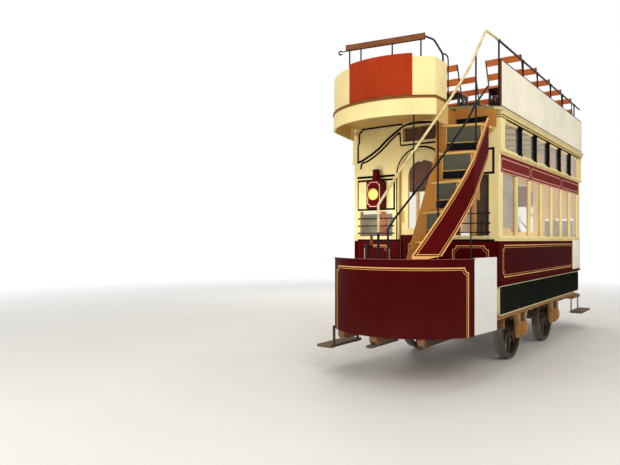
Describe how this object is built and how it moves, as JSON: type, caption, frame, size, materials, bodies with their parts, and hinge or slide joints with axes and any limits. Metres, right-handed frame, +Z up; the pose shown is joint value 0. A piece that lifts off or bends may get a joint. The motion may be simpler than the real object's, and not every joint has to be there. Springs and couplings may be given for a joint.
{
  "type": "double-deck horse tram",
  "caption": "Double-deck horse-drawn tram with a windowed saloon, winding end stairs, an open top deck with reversible slatted seats, and two axles.",
  "frame": {"origin": "on the centre line of the car, level with the tips of the wheel flanges", "axes": "+X along the car from the pictured end to the other, +Y across it, +Z up"},
  "size_m": [6.5598, 1.93, 3.8095],
  "materials": {
    "maroon_paint": "glossy varnished maroon",
    "cream_paint": "satin cream paint",
    "ochre_paint": "satin ochre-brown paint",
    "black_iron": "black painted iron",
    "white_board": "off-white painted board",
    "red_board": "orange-red painted board",
    "varnished_wood": "varnished slats",
    "floor_wood": "worn floor boards",
    "wheel_iron": "painted cast iron, bright tread",
    "window_glass": "clear window glass",
    "cream_rail": "cream painted tube"
  },
  "bodies": {
    "car_body": {"axleboxes": "ochre_paint", "boarding_steps": "floor_wood", "brake_columns": "black_iron", "brake_gear": "black_iron", "bulkhead_glass": "window_glass", "deck_rails": "black_iron", "draw_plates": "black_iron", "front_bulkhead": "cream_paint", "front_dash": "maroon_paint", "front_landing": "cream_paint", "front_platform": "ochre_paint", "front_stair_string": "ochre_paint", "front_stair_stringer": "maroon_paint", "front_stairs": "ochre_paint", "horn_guides": "ochre_paint", "lamp_boxes": "maroon_paint", "landing_rails": "varnished_wood", "landing_sheets": "cream_paint", "left_deck_board": "white_board", "left_seat_frames": "varnished_wood", "left_side_wall": "cream_paint", "rear_bulkhead": "cream_paint", "rear_dash": "maroon_paint", "rear_landing": "cream_paint", "rear_platform": "ochre_paint", "rear_stair_string": "ochre_paint", "rear_stair_stringer": "maroon_paint", "rear_stairs": "ochre_paint", "right_deck_board": "white_board", "right_seat_frames": "varnished_wood", "right_side_wall": "cream_paint", "rocker_boards": "black_iron", "saloon_benches": "varnished_wood", "saloon_floor": "floor_wood", "side_sheets": "white_board", "side_window_glass": "window_glass", "springs": "black_iron", "stair_mid_rails": "black_iron", "stair_top_rails": "cream_rail", "top_deck": "floor_wood", "underframe": "ochre_paint", "upper_light_frames": "black_iron", "upper_light_glass": "window_glass", "window_guard_bars": "black_iron"},
    "front_wheels": {"front_wheelset": "wheel_iron"},
    "rear_wheels": {"rear_wheelset": "wheel_iron"},
    "front_door_leaf": {"front_door": "cream_paint", "front_door_glass": "window_glass"},
    "rear_door_leaf": {"rear_door": "cream_paint", "rear_door_glass": "window_glass"},
    "seat_back_1_swinging": {"seat_back_1": "varnished_wood"},
    "seat_back_10_swinging": {"seat_back_10": "varnished_wood"},
    "seat_back_2_swinging": {"seat_back_2": "varnished_wood"},
    "seat_back_3_swinging": {"seat_back_3": "varnished_wood"},
    "seat_back_4_swinging": {"seat_back_4": "varnished_wood"},
    "seat_back_5_swinging": {"seat_back_5": "varnished_wood"},
    "seat_back_6_swinging": {"seat_back_6": "varnished_wood"},
    "seat_back_7_swinging": {"seat_back_7": "varnished_wood"},
    "seat_back_8_swinging": {"seat_back_8": "varnished_wood"},
    "seat_back_9_swinging": {"seat_back_9": "varnished_wood"}
  },
  "joints": [
    {"name": "front_wheels_turn", "type": "hinge", "parent": "car_body", "child": "front_wheels", "pos_m": [-0.825, 0, 0.418], "axis": [0, 1, 0], "continuous": true},
    {"name": "rear_wheels_turn", "type": "hinge", "parent": "car_body", "child": "rear_wheels", "pos_m": [0.825, 0, 0.418], "axis": [0, 1, 0], "continuous": true},
    {"name": "front_door_slide", "type": "slide", "parent": "car_body", "child": "front_door_leaf", "axis": [0, 1, 0], "range_m": [0, 0.53]},
    {"name": "rear_door_slide", "type": "slide", "parent": "car_body", "child": "rear_door_leaf", "axis": [0, -1, 0], "range_m": [0, 0.53]},
    {"name": "seat_back_1_swing", "type": "hinge", "parent": "car_body", "child": "seat_back_1_swinging", "pos_m": [-0.88, 0, 3.17769], "axis": [0, 1, 0], "range_deg": [0, 44]},
    {"name": "seat_back_2_swing", "type": "hinge", "parent": "car_body", "child": "seat_back_2_swinging", "pos_m": [-0.202, 0, 3.17769], "axis": [0, 1, 0], "range_deg": [0, 44]},
    {"name": "seat_back_3_swing", "type": "hinge", "parent": "car_body", "child": "seat_back_3_swinging", "pos_m": [0.476, 0, 3.17769], "axis": [0, 1, 0], "range_deg": [0, 44]},
    {"name": "seat_back_4_swing", "type": "hinge", "parent": "car_body", "child": "seat_back_4_swinging", "pos_m": [1.154, 0, 3.17769], "axis": [0, 1, 0], "range_deg": [0, 44]},
    {"name": "seat_back_5_swing", "type": "hinge", "parent": "car_body", "child": "seat_back_5_swinging", "pos_m": [1.832, 0, 3.17769], "axis": [0, 1, 0], "range_deg": [0, 44]},
    {"name": "seat_back_6_swing", "type": "hinge", "parent": "car_body", "child": "seat_back_6_swinging", "pos_m": [-0.88, 0, 3.198], "axis": [0, 1, 0], "range_deg": [0, 44]},
    {"name": "seat_back_7_swing", "type": "hinge", "parent": "car_body", "child": "seat_back_7_swinging", "pos_m": [-0.202, 0, 3.198], "axis": [0, 1, 0], "range_deg": [0, 44]},
    {"name": "seat_back_8_swing", "type": "hinge", "parent": "car_body", "child": "seat_back_8_swinging", "pos_m": [0.476, 0, 3.198], "axis": [0, 1, 0], "range_deg": [0, 44]},
    {"name": "seat_back_9_swing", "type": "hinge", "parent": "car_body", "child": "seat_back_9_swinging", "pos_m": [1.154, 0, 3.198], "axis": [0, 1, 0], "range_deg": [0, 44]},
    {"name": "seat_back_10_swing", "type": "hinge", "parent": "car_body", "child": "seat_back_10_swinging", "pos_m": [1.832, 0, 3.198], "axis": [0, 1, 0], "range_deg": [0, 44]}
  ]
}
